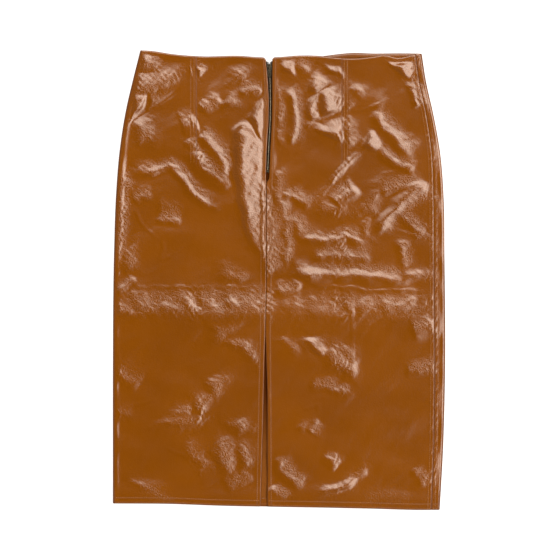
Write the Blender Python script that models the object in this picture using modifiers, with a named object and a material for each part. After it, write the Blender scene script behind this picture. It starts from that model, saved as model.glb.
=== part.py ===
"""A straight midi skirt in glossy leather, laid flat with its back uppermost.

Metres, +Z up. The hem is toward -Y, the waist toward +Y. The front panel lies on the surface and
turns up round the right-hand fold to the right side seam. The two back panels lie over it, and the
left one turns down round the left-hand fold to the left side seam underneath.
"""

import math

import bmesh
import bpy
import numpy as np

MM = 0.001

# Leather, and the height of its middle surface above the ground.
LEATHER = 1.2 * MM
CLEARANCE = 0.3 * MM
PITCH = LEATHER + CLEARANCE
FRONT_MID = LEATHER / 2
HEM_MID = FRONT_MID + 3 * PITCH
ZIP_MID = 4.4 * MM
FOLD_MID = 4.2 * MM
BACK_MID = 3.9 * MM
LOWEST_MID = 2.4 * MM
HIGHEST_MID = 5.5 * MM

# Overall size and the hem's turning.
LENGTH = 690 * MM
HEM_TURNING = 11 * MM
HEM_BLEND = (14 * MM, 52 * MM)
SIDE_BLEND = (4 * MM, 30 * MM)
ZIP_BLEND = (20 * MM, 46 * MM)
LEFT_SEAM_INSET = 24 * MM

# Below the waist, then the left fold, the right fold and the right side seam's inset from it. All mm.
OUTLINE = np.array([
    (0, -208.4, 214.4, 9.6),
    (40, -218.2, 220.6, 10.3),
    (90, -229.6, 231.6, 11.0),
    (150, -238.9, 242.0, 12.9),
    (220, -244.6, 247.3, 15.6),
    (300, -247.4, 248.4, 16.3),
    (495, -249.3, 249.1, 15.8),
    (600, -249.3, 246.2, 14.4),
    (690, -249.3, 241.2, 12.7),
]) * MM

# The back's waist edge, the front's waist edge and the hem: across, up. All mm.
BACK_WAIST = np.array([
    (-216, 345.0), (-190, 343.6), (-160, 339.0), (-115, 335.6), (-60, 336.4), (-25, 334.2),
    (0, 334.6), (30, 336.8), (60, 336.3), (85, 333.8), (109, 332.4), (142, 335.3),
    (157, 337.5), (180, 333.6), (194, 336.0), (205, 339.0), (216, 339.2),
]) * MM
FRONT_WAIST = np.array([
    (-216, 343.8), (-150, 336.0), (-80, 329.0), (-14, 324.5), (30, 330.5), (85, 338.6),
    (109, 340.9), (142, 340.0), (180, 340.3), (205, 339.9), (216, 339.2),
]) * MM
HEM = np.array([
    (-250, -335.3), (-160, -336.0), (-88, -338.6), (-16, -340.1), (70, -341.6), (140, -343.1),
    (212, -345.0), (250, -344.7),
]) * MM

# The back's middle: up, edge of the left panel, edge of the right panel. The zip's opening is the
# first seven rows, the seam the next three, the slit the rest. All mm, and the seam's place across.
ZIP_END = 152
SEAM_TOP = 146
SLIT_TOP = -79.5
SEAM_ACROSS = -19 * MM
MIDDLE = np.array([
    (345, -20.0, -10.0),
    (322, -19.2, -10.0),
    (307, -17.6, -9.8),
    (270, -15.9, -9.6),
    (240, -16.2, -10.0),
    (195, -18.5, -13.0),
    (ZIP_END, -19.8, -14.8),
    (SEAM_TOP, -19.05, -18.75),
    (-10, -19.35, -19.05),
    (SLIT_TOP, -20.65, -20.35),
    (-150, -22.6, -18.0),
    (-180, -23.0, -17.3),
    (-345, -27.6, -17.7),
]) * MM
NOTCH_ROUND = 5 * MM
NOTCH_COLUMNS = (0.0, 1.5 * MM)

# Darts: across, lowest point, half the seam's width, and how far its two columns spread below it.
LEFT_DART = -124 * MM
RIGHT_DART = 94.5 * MM
DART_TIP = 176 * MM
DART_HALF = CLEARANCE / 2
DART_SPREAD = 6 * MM

# The largest folds of the back: from (across, up) to (across, up), half width, height. All mm.
FOLDS = np.array([
    (-238, -9, 238, -14, 17, 0.9),
    (-48, 236, -40, 60, 26, 1.4),
    (-223, 162, -166, 175, 20, 1.2),
    (-166, 175, -99, 117, 20, 1.3),
    (-200, 320, -226, 215, 18, -0.7),
    (148, 250, 205, 177, 20, 1.3),
    (129, 198, 219, 168, 18, 1.0),
    (31, 243, 91, 262, 20, -1.2),
    (39, 225, 94, 202, 22, 1.4),
    (116, 190, 52, 113, 18, 1.2),
    (219, 135, 148, 75, 20, 1.1),
    (24, 28, 177, 8, 18, 1.0),
    (34, 67, 130, 63, 18, 0.8),
    (-76, -146, -163, -218, 22, 1.2),
    (46, -95, 104, -140, 18, 1.2),
    (52, -318, 138, -279, 26, 1.2),
    (-230, -150, -200, -165, 16, 0.8),
    (-70, -215, -40, -220, 16, 0.9),
]) * MM

# The grids' cells: down the zip, the seam and the slit, round the hem's roll and a side fold, across.
ZIP_CELLS = 9
SEAM_CELLS = 10
SLIT_CELLS = 11
HEM_ROLL_CELLS = 3
FOLD_CELLS = 6
BACK_CELLS = 8
FRONT_CELLS = 15

# The zip, in its opening: the tapes, the chain of meshed teeth and the stops.
TAPE = 0.5 * MM
TAPE_DROP = LEATHER / 2 + CLEARANCE + TAPE / 2
TAPE_WIDTH = 11 * MM
TAPE_TOP = 328 * MM
TAPE_BOTTOM = 152.5 * MM
CHAIN_HALF = 2.2 * MM
CHAIN_THICK = 2.4 * MM
CHAIN_MID = 3.4 * MM
CHAIN_TOP = 314.7 * MM
CHAIN_BOTTOM = 165.2 * MM
CHAIN_CELLS = 14
STOP_SIZE = (4.0 * MM, 3.4 * MM, 2.6 * MM)
STOP_UP = 163.2 * MM
TOP_STOP_SIZE = (1.5 * MM, 2.2 * MM, 2.4 * MM)
TOP_STOP_UP = 325.6 * MM
TOP_STOP_SHIFT = 1.45 * MM

# The slider, about the middle of its body: two plates on a post, with flanges that hold the teeth.
SLIDER_UP = 319.5 * MM
SLIDER_WIDTH = 7.2 * MM
SLIDER_LENGTH = 9.0 * MM
SLIDER_BOTTOM = 1.5 * MM
SLIDER_TOP = 5.4 * MM
SLIDER_PLATE = 0.65 * MM
CHANNEL_HALF = 2.6 * MM
POST_HALF = 0.9 * MM
POST_BACK = 1.5 * MM
TAPE_SLOT = 0.8 * MM
BAIL_WIDTH = 2.0 * MM
BAIL_LENGTH = 6.0 * MM
BAIL_THICK = 0.9 * MM
BAIL_TOP = 8.1 * MM
PAST = 1.0 * MM
SINK = 0.2 * MM

# The pull tab, about the axis of the bar at its head.
TAB_AXIS = 6.3 * MM
TAB_THICK = 0.9 * MM
TAB_WIDTH = 5.4 * MM
TAB_LENGTH = 16.0 * MM
TAB_EYE = (2.9 * MM, 3.5 * MM)
TAB_HOLE = (2.2 * MM, 3.0 * MM)
TAB_HOLE_DOWN = 11.3 * MM
TAB_ROUND = 1.4 * MM
CORNER_CELLS = 4
WELD = 0.01 * MM

# Linear colour, roughness and metallic value of each material, and the angle that stays sharp.
TAN_LEATHER = ((0.262, 0.072, 0.0042), 0.22, 0.0)
ANTIQUE_METAL = ((0.11, 0.10, 0.075), 0.38, 1.0)
TAPE_CLOTH = ((0.012, 0.009, 0.006), 0.85, 0.0)
SHARP = math.radians(35)


def smooth_table(x, xs, ys):
    """A cubic through the table's points, with the slope at each from its two neighbours."""
    slopes = np.gradient(ys, xs)
    x = np.clip(x, xs[0], xs[-1])
    i = np.clip(np.searchsorted(xs, x, side="right") - 1, 0, len(xs) - 2)
    step = xs[i + 1] - xs[i]
    t = (x - xs[i]) / step
    rise = ys[i + 1] - ys[i]
    bend_in = slopes[i] * step - rise
    bend_out = slopes[i + 1] * step - rise
    return ys[i] + t * rise + t * (1 - t) * (bend_in * (1 - t) - bend_out * t)


def ease(t):
    """0 to 1 with level ends."""
    t = np.clip(t, 0, 1)
    return t * t * (3 - 2 * t)


def blend(value, target, distance, near_far):
    """The target within the near distance, the value past the far one, and eased between."""
    near, far = near_far
    return target + (value - target) * ease((distance - near) / (far - near))


def outline(down):
    """(left fold, right fold, right side seam) across, at each fraction of the way down."""
    left, right, inset = (smooth_table(down * LENGTH, OUTLINE[:, 0], OUTLINE[:, k]) for k in (1, 2, 3))
    return left, right, right - inset


def middle(up):
    """Edges of the left and the right back panel at the zip, the centre back seam and the slit."""
    rising = MIDDLE[::-1]
    return np.interp(up, rising[:, 0], rising[:, 1]), np.interp(up, rising[:, 0], rising[:, 2])


def chain_across(up):
    """The zip's chain runs midway between the edges of its opening."""
    return sum(middle(up)) / 2


def hem_row(across):
    """Lowest row of a panel's middle surface: the hem's outer edge, less the roll of its fold."""
    return smooth_table(across, HEM[:, 0], HEM[:, 1]) + (PITCH + LEATHER) / 2


def back_waist(across):
    """The back's waist edge, rounded down where it meets the zip's opening."""
    left, right = MIDDLE[0, 1:]
    away = np.clip(np.maximum(left - across, across - right), 0, NOTCH_ROUND)
    drop = NOTCH_ROUND - np.sqrt(NOTCH_ROUND**2 - (NOTCH_ROUND - away) ** 2)
    return smooth_table(across, BACK_WAIST[:, 0], BACK_WAIST[:, 1]) - drop


def front_waist(across):
    """The front's waist edge, which dips at its middle and shows past the back's on the right."""
    return smooth_table(across, FRONT_WAIST[:, 0], FRONT_WAIST[:, 1])


def rows_down():
    """How far down each row lies, with rows at the zip's end, the seam's top and the slit's top."""
    marks = [(MIDDLE_TOP - mark * MM) / MIDDLE_DROP for mark in (ZIP_END, SEAM_TOP, SLIT_TOP)]
    zip_rows = np.linspace(0, marks[0], ZIP_CELLS + 1)
    seam_rows = np.linspace(marks[1], marks[2], SEAM_CELLS + 1)
    slit_rows = np.linspace(marks[2], 1, SLIT_CELLS + 1)[1:]
    return np.concatenate([zip_rows, seam_rows, slit_rows])


# Down the back's middle, and each row's place down it, its side folds and its middle edges.
MIDDLE_TOP = smooth_table(SEAM_ACROSS, BACK_WAIST[:, 0], BACK_WAIST[:, 1])
MIDDLE_DROP = MIDDLE_TOP - hem_row(SEAM_ACROSS)
DOWN = rows_down()
MIDDLE_UP = MIDDLE_TOP - DOWN * MIDDLE_DROP
LEFT_EDGE, RIGHT_EDGE = middle(MIDDLE_UP)
LEFT_FOLD, RIGHT_FOLD, RIGHT_SEAM = outline(DOWN)
FOLD_RADIUS = (blend(FOLD_MID, HEM_MID, (1 - DOWN) * LENGTH, HEM_BLEND) - FRONT_MID) / 2


def folds_height(across, up):
    """The largest folds: each rises to its height along a line and eases to nothing at its width."""
    total = np.zeros_like(across)
    for x0, y0, x1, y1, width, height in FOLDS:
        run = np.array([x1 - x0, y1 - y0])
        along = np.clip(((across - x0) * run[0] + (up - y0) * run[1]) / (run @ run), 0, 1)
        away = np.hypot(across - x0 - along * run[0], up - y0 - along * run[1])
        total += height * ease(1 - away / width)
    return total


def back_mid(across, up):
    """Height of the upper layer's middle surface: its folds, calmed at the sides, zip and hem."""
    height = np.clip(BACK_MID + folds_height(across, up), LOWEST_MID, HIGHEST_MID)
    height = blend(height, FOLD_MID, np.minimum(across - LEFT_FOLD, RIGHT_FOLD - across), SIDE_BLEND)
    from_zip = np.hypot(across - chain_across(up), np.clip(TAPE_BOTTOM - up, 0, None))
    height = blend(height, ZIP_MID, from_zip, ZIP_BLEND)
    return blend(height, HEM_MID, (1 - DOWN) * LENGTH, HEM_BLEND)


def column(across, waist, height, inward):
    """One column of a panel, from its waist to its hem, and its inward normal."""
    up = waist(across) + DOWN * (hem_row(across) - waist(across))
    if height is None:
        height = back_mid(across, up)
    return np.stack([across, up, np.broadcast_to(height, up.shape)], axis=1), np.array(inward)


def upper(across, waist):
    """A column of the upper layer, whose inner side faces down."""
    return column(across, waist, None, (0.0, 0.0, -1.0))


def under(across, waist):
    """A column of the layer that lies on the ground, whose inner side faces up."""
    return column(across, waist, FRONT_MID, (0.0, 0.0, 1.0))


def fold_centre(edge, side):
    """Middle of a side fold's half circle: side is -1 on the left and 1 on the right."""
    return edge - side * (LEATHER / 2 + FOLD_RADIUS)


def side_fold(edge, side, waist):
    """Columns round a side fold, on a half circle from the upper layer to the one on the ground."""
    columns = []
    for step in range(1, FOLD_CELLS):
        angle = math.pi * step / FOLD_CELLS
        across = fold_centre(edge, side) + side * FOLD_RADIUS * math.sin(angle)
        height = FRONT_MID + FOLD_RADIUS * (1 + math.cos(angle))
        inward = (-side * math.sin(angle), 0.0, -math.cos(angle))
        columns.append(column(across, waist, height, inward))
    return columns


def spaced(start, stop, cells):
    """Places from start to stop, both included, in equal cells."""
    return [start + (stop - start) * k / cells for k in range(cells + 1)]


def panel(columns):
    """A panel's grid of points, with its hem rolled under and turned up inside."""
    points = np.stack([points for points, _ in columns], axis=1)
    inward = np.stack([inward for _, inward in columns])
    rows = [points]
    for step in range(1, HEM_ROLL_CELLS + 1):
        angle = math.pi * step / HEM_ROLL_CELLS
        roll = inward * (1 - math.cos(angle)) - np.array([0, math.sin(angle), 0])
        rows.append((points[-1] + PITCH / 2 * roll)[None])
    for part in (0.5, 1.0):
        rise = np.array([0, part * HEM_TURNING, 0])
        rows.append((points[-1] + PITCH * inward + rise)[None])
    return np.concatenate(rows)


def back_columns(edge, toward, dart, far):
    """Columns of a back panel, from its middle edge past its dart, as (columns, dart's column).

    toward is -1 for the left panel and 1 for the right one, and far is where its flat part ends.
    """
    half = DART_HALF + DART_SPREAD * ease((DART_TIP - MIDDLE_UP) / DART_TIP)
    places = [edge + toward * step for step in NOTCH_COLUMNS]
    places += spaced(edge + toward * NOTCH_ROUND, dart - toward * half, BACK_CELLS)
    before_dart = len(places) - 1
    places += spaced(dart + toward * half, far, BACK_CELLS)
    return [upper(place, back_waist) for place in places], before_dart


def collection(name):
    """A new collection in the scene."""
    made = bpy.data.collections.new(name)
    bpy.context.scene.collection.children.link(made)
    return made


def material(name, colour, roughness, metallic):
    """A plain Principled material."""
    made = bpy.data.materials.new(name)
    made.use_nodes = True
    shader = made.node_tree.nodes["Principled BSDF"]
    shader.inputs["Base Color"].default_value = (*colour, 1)
    shader.inputs["Roughness"].default_value = roughness
    shader.inputs["Metallic"].default_value = metallic
    return made


def finish(obj, look):
    """Gives a piece its material and smooth faces, and puts it in the skirt's collection."""
    for old in list(obj.users_collection):
        old.objects.unlink(obj)
    SKIRT.objects.link(obj)
    obj.data.materials.append(look)
    obj.data.shade_smooth()
    obj.data.set_sharp_from_angle(angle=SHARP)
    return obj


def sheet(name, points, thickness, look, slot=None):
    """A grid laid on rows and columns of points, thickened evenly on both sides.

    slot is (column of cells, how many rows of it are left out), for a dart's seam.
    """
    rows, columns = points.shape[:2]
    grid = bmesh.new()
    bmesh.ops.create_grid(grid, x_segments=columns - 1, y_segments=rows - 1, size=1)
    grid.faces.ensure_lookup_table()
    if slot:
        cut = [grid.faces[row * (columns - 1) + slot[0]] for row in range(slot[1])]
        bmesh.ops.delete(grid, geom=cut, context="FACES_ONLY")
    mesh = bpy.data.meshes.new(name)
    grid.to_mesh(mesh)
    grid.free()
    mesh.vertices.foreach_set("co", points.ravel())
    obj = bpy.data.objects.new(name, mesh)
    SKIRT.objects.link(obj)
    solid = obj.modifiers.new("thickness", "SOLIDIFY")
    solid.thickness = thickness
    solid.offset = 0
    return finish(obj, look)


def box(name, size, centre):
    """A box of a size, about a centre."""
    bpy.ops.mesh.primitive_cube_add(size=1, location=centre, scale=size)
    bpy.ops.object.transform_apply(location=False, rotation=False, scale=True)
    bpy.context.object.name = name
    return bpy.context.object


def span(name, low, high):
    """A box between two opposite corners."""
    low, high = np.array(low), np.array(high)
    return box(name, tuple(high - low), tuple((low + high) / 2))


def helper(obj):
    """Keeps a cutter out of the render, in its own collection."""
    for old in list(obj.users_collection):
        old.objects.unlink(obj)
    CUTTERS.objects.link(obj)
    obj.hide_render = True
    obj.display_type = "WIRE"
    return obj


def combine(obj, other, operation):
    """Adds an exact Boolean."""
    boolean = obj.modifiers.new(other.name, "BOOLEAN")
    boolean.object = helper(other)
    boolean.operation = operation
    boolean.solver = "EXACT"


def build_panels(leather):
    """The three panels of leather."""
    columns, dart = back_columns(LEFT_EDGE, -1, LEFT_DART, fold_centre(LEFT_FOLD, -1))
    columns += side_fold(LEFT_FOLD, -1, back_waist)
    seam = LEFT_FOLD + LEFT_SEAM_INSET - CLEARANCE / 2
    columns += [under(place, back_waist) for place in spaced(fold_centre(LEFT_FOLD, -1), seam, 1)]
    dart_rows = np.count_nonzero(MIDDLE_UP > DART_TIP) - 1
    sheet("back_left_panel", panel(columns), LEATHER, leather, (dart, dart_rows))

    columns, dart = back_columns(RIGHT_EDGE, 1, RIGHT_DART, RIGHT_SEAM - CLEARANCE / 2)
    sheet("back_right_panel", panel(columns), LEATHER, leather, (dart, dart_rows))

    start = LEFT_FOLD + LEFT_SEAM_INSET + CLEARANCE / 2
    columns = [under(place, front_waist) for place in spaced(start, fold_centre(RIGHT_FOLD, 1), FRONT_CELLS)]
    columns += reversed(side_fold(RIGHT_FOLD, 1, front_waist))
    flange = spaced(fold_centre(RIGHT_FOLD, 1), RIGHT_SEAM + CLEARANCE / 2, 1)
    columns += [upper(place, front_waist) for place in flange]
    sheet("front_panel", panel(columns), LEATHER, leather)


def build_zip(cloth, metal):
    """The tapes, the chain and the stops."""
    up = np.linspace(TAPE_TOP, TAPE_BOTTOM, CHAIN_CELLS + 1)
    height = np.full_like(up, ZIP_MID - TAPE_DROP)
    for side, name in ((-1, "zip_tape_left"), (1, "zip_tape_right")):
        inner = chain_across(up) + side * (CHAIN_HALF + CLEARANCE)
        edges = [np.stack([inner + side * far, up, height], axis=1) for far in (0, TAPE_WIDTH)]
        sheet(name, np.stack(edges, axis=1), TAPE, cloth)
        place = chain_across(TOP_STOP_UP) + side * TOP_STOP_SHIFT
        stop = box(name.replace("tape", "top_stop"), TOP_STOP_SIZE, (place, TOP_STOP_UP, CHAIN_MID))
        finish(stop, metal)
    up = np.linspace(CHAIN_TOP, CHAIN_BOTTOM, CHAIN_CELLS + 1)
    height = np.full_like(up, CHAIN_MID)
    edges = [np.stack([chain_across(up) + half, up, height], axis=1) for half in (-CHAIN_HALF, CHAIN_HALF)]
    sheet("zip_chain", np.stack(edges, axis=1), CHAIN_THICK, metal)
    stop = box("zip_bottom_stop", STOP_SIZE, (chain_across(STOP_UP), STOP_UP, CHAIN_MID))
    finish(stop, metal)


def build_slider(metal):
    """The slider at the zip's top, with its bail."""
    across = chain_across(SLIDER_UP)
    half, back, front = SLIDER_WIDTH / 2, SLIDER_UP - SLIDER_LENGTH / 2, SLIDER_UP + SLIDER_LENGTH / 2
    body = span("zip_slider", (across - half, back, SLIDER_BOTTOM), (across + half, front, SLIDER_TOP))
    low, high = SLIDER_BOTTOM + SLIDER_PLATE, SLIDER_TOP - SLIDER_PLATE
    post = SLIDER_UP + POST_BACK
    left, right = across - CHANNEL_HALF, across + CHANNEL_HALF
    combine(body, span("teeth_channel", (left, back - PAST, low), (right, post, high)), "DIFFERENCE")
    slot_low, slot_high = (ZIP_MID - TAPE_DROP + end * TAPE_SLOT / 2 for end in (-1, 1))
    for side in (-1, 1):
        inner, outer = sorted((across + side * POST_HALF, across + side * CHANNEL_HALF))
        fork = span("teeth_fork", (inner, post - SINK, low), (outer, front + PAST, high))
        combine(body, fork, "DIFFERENCE")
        inner, outer = sorted((across + side * (CHANNEL_HALF - SINK), across + side * (half + PAST)))
        slot = span("tape_slot", (inner, back - PAST, slot_low), (outer, front + PAST, slot_high))
        combine(body, slot, "DIFFERENCE")
    base = SLIDER_TOP - SINK
    bail = box("bail", (BAIL_WIDTH, BAIL_LENGTH, BAIL_TOP - base), (across, SLIDER_UP, (BAIL_TOP + base) / 2))
    legs = BAIL_LENGTH / 2 - BAIL_THICK
    gap = span("bail_gap", (across - BAIL_WIDTH, SLIDER_UP - legs, base - PAST),
               (across + BAIL_WIDTH, SLIDER_UP + legs, BAIL_TOP - BAIL_THICK))
    combine(bail, gap, "DIFFERENCE")
    combine(body, bail, "UNION")
    finish(body, metal)


def rounded_loop(curve, half, low, high, radius):
    """A closed loop of straight runs and quarter circles, from -half to half and from low to high."""
    corners = [(half, high, 0), (-half, high, 1), (-half, low, 2), (half, low, 3)]
    loop = []
    for x, y, turn in corners:
        centre = (x - math.copysign(radius, x), high - radius if turn < 2 else low + radius)
        for step in range(CORNER_CELLS + 1):
            angle = math.pi / 2 * (turn + step / CORNER_CELLS)
            loop.append((centre[0] + radius * math.cos(angle), centre[1] + radius * math.sin(angle), 0, 1))
    spline = curve.splines.new("POLY")
    spline.points.add(len(loop) - 1)
    for point, place in zip(spline.points, loop):
        point.co = place
    spline.use_cyclic_u = True


def as_mesh(obj, look):
    """Turns a filled curve into a mesh with its caps joined."""
    bpy.context.view_layer.update()
    graph = bpy.context.evaluated_depsgraph_get()
    mesh = bpy.data.meshes.new_from_object(obj.evaluated_get(graph))
    welded = bmesh.new()
    welded.from_mesh(mesh)
    bmesh.ops.remove_doubles(welded, verts=welded.verts, dist=WELD)
    welded.to_mesh(mesh)
    welded.free()
    name, curve, place = obj.name, obj.data, obj.matrix_world.copy()
    bpy.data.objects.remove(obj)
    bpy.data.curves.remove(curve)
    solid = bpy.data.objects.new(name, mesh)
    SKIRT.objects.link(solid)
    solid.matrix_world = place
    return finish(solid, look)


def build_pull_tab(metal):
    """The pull tab, lying toward the hem, with its origin on the axis of the bar at its head."""
    place = (chain_across(SLIDER_UP), SLIDER_UP, TAB_AXIS)
    head, foot = TAB_THICK / 2, TAB_THICK / 2 - TAB_LENGTH
    plate = bpy.data.curves.new("pull_tab", "CURVE")
    plate.dimensions = "2D"
    plate.fill_mode = "BOTH"
    plate.extrude = TAB_THICK / 2
    eye_high = -TAB_THICK / 2
    hole_low, hole_high = -TAB_HOLE_DOWN - TAB_HOLE[1] / 2, -TAB_HOLE_DOWN + TAB_HOLE[1] / 2
    rounded_loop(plate, TAB_WIDTH / 2, foot, head, TAB_ROUND)
    rounded_loop(plate, TAB_EYE[0] / 2, eye_high - TAB_EYE[1], eye_high, TAB_ROUND / 2)
    rounded_loop(plate, TAB_HOLE[0] / 2, hole_low, hole_high, TAB_ROUND / 2)
    obj = bpy.data.objects.new("pull_tab", plate)
    SKIRT.objects.link(obj)
    obj.location = place
    as_mesh(obj, metal)


def main():
    """Builds the skirt."""
    metal = material("antique_metal", *ANTIQUE_METAL)
    build_panels(material("tan_leather", *TAN_LEATHER))
    build_zip(material("zip_tape", *TAPE_CLOTH), metal)
    build_slider(metal)
    build_pull_tab(metal)


for start_up in list(bpy.data.objects):
    bpy.data.objects.remove(start_up)
SKIRT = collection("midi_skirt")
CUTTERS = collection("cutters")
main()
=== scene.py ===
"""A straight midi skirt in glossy tan leather, laid flat with its back uppermost: its looks."""

import math

import bpy
import numpy as np
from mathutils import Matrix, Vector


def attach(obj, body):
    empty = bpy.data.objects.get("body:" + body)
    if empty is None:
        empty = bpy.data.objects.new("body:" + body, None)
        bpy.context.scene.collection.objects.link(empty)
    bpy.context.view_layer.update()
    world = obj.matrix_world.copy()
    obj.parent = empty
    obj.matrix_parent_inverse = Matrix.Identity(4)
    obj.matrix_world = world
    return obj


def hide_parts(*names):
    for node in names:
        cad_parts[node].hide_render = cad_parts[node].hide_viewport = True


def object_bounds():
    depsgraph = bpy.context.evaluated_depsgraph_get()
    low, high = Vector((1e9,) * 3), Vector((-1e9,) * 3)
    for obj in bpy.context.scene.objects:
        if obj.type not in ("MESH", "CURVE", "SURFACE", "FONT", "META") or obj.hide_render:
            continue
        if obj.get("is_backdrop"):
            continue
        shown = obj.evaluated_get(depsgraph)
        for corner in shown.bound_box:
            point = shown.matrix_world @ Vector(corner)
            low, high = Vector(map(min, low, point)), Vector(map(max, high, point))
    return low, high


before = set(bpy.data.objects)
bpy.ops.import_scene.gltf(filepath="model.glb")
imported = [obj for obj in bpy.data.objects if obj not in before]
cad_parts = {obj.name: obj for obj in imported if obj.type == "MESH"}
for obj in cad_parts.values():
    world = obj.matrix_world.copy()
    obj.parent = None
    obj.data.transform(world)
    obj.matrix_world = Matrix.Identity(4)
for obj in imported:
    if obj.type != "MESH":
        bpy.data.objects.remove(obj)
CAD_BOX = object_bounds()

# What is made is reckoned in millimetres, and given to Blender in metres.
MM = 0.001

# ---- Sizes --------------------------------------------------------------------------------------
# The leather's thickness, the pitch of two layers folded together, how far a folded edge stands out
# past its row, the gap of a seam, and heights of the leather's middle surface above the ground.
LEATHER = 1.2
PITCH = 1.5
EDGE_ROLL = (PITCH + LEATHER) / 2
SEAM_GAP = 0.3
GROUND_MID = 0.6
HEM_MID = 5.1
EDGE_MID = 4.9
FOLD_MID = 4.3
REST_MID = 4.3
LOWEST_MID = 2.75

# The skirt's length, how far its edges are turned in, how far round the left fold its side seam lies,
# and the edge turned down at a seam. Then places: across the middle, and up to the darts' tips and to
# the end of the zip's opening.
LENGTH = 690
HEM_TURNING = 11
WAIST_TURNING = 5.5
SLIT_TURNING = 5
LEFT_SEAM_INSET = 24
SEAM_LIP = 0.8
SEAM_ACROSS = -19
DART_TIP = 176
ZIP_END = 152

# How wide the dip along a stitched row is, and how far in from the waist and from the hem the leather
# begins to lie freely and lies quite freely.
STITCH_DIP = 0.9
WAIST_EASE = (1, 12)
HEM_EASE = (11, 34)

# Below the waist, then the left fold, the right fold and the right side seam's inset from it.
OUTLINE = np.array([
    (0, -208.4, 214.4, 9.6),
    (40, -218.2, 220.6, 10.3),
    (90, -229.6, 231.6, 11.0),
    (150, -238.9, 242.0, 12.9),
    (220, -244.6, 247.3, 15.6),
    (300, -247.4, 248.4, 16.3),
    (495, -249.3, 249.1, 15.8),
    (600, -249.3, 246.2, 14.4),
    (690, -249.3, 241.2, 12.7),
])

# The back's waist edge, the front's waist edge and the hem: across, up.
BACK_WAIST = np.array([
    (-216, 345.0), (-190, 343.6), (-160, 339.0), (-115, 335.6), (-60, 336.4), (-25, 334.2),
    (0, 334.6), (30, 336.8), (60, 336.3), (85, 333.8), (109, 332.4), (142, 335.3),
    (157, 337.5), (180, 333.6), (194, 336.0), (205, 339.0), (216, 339.2),
])
FRONT_WAIST = np.array([
    (-216, 343.8), (-150, 336.0), (-80, 329.0), (-14, 324.5), (30, 330.5), (85, 338.6),
    (109, 340.9), (142, 340.0), (180, 340.3), (205, 339.9), (216, 339.2),
])
HEM = np.array([
    (-250, -335.3), (-160, -336.0), (-88, -338.6), (-16, -340.1), (70, -341.6), (140, -343.1),
    (212, -345.0), (250, -344.7),
])

# Down the middle of the back: up, edge of the left panel, edge of the right panel.
MIDDLE = np.array([
    (345, -20.0, -10.0),
    (322, -19.2, -10.0),
    (307, -17.3, -10.1),
    (270, -15.4, -10.1),
    (240, -15.7, -10.5),
    (195, -18.5, -13.0),
    (152, -19.8, -14.8),
    (146, -19.05, -18.75),
    (-10, -19.35, -19.05),
    (-79.5, -20.65, -20.35),
    (-150, -22.6, -18.0),
    (-180, -23.0, -17.3),
    (-345, -27.6, -17.7),
])

# The topstitching beside that middle: up, the row on its left, the row on its right.
MIDDLE_ROWS = np.array([
    (340, -23.5, -5.0),
    (300, -21.5, -5.5),
    (270, -20.6, -5.8),
    (200, -23.0, -8.5),
    (155, -25.6, -10.2),
    (140, -26.6, -10.8),
    (0, -27.0, -11.8),
    (-80, -27.6, -13.2),
    (-180, -30.2, -12.2),
    (-345, -33.0, -11.6),
])
MIDDLE_ROW_ENDS = (329, -334)

# How far the side seams' topstitching is from them, and the hem's from its edge.
SIDE_ROW = 5.5
HEM_ROWS = (2.2, 9.0)

# The left dart and the right one: across, how far from it its two topstitched rows are, and up to
# their tops.
DARTS = (
    (-124, (-3.4, -8.2), 332),
    (94.5, (3.6, 8.4), 329),
)

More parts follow.
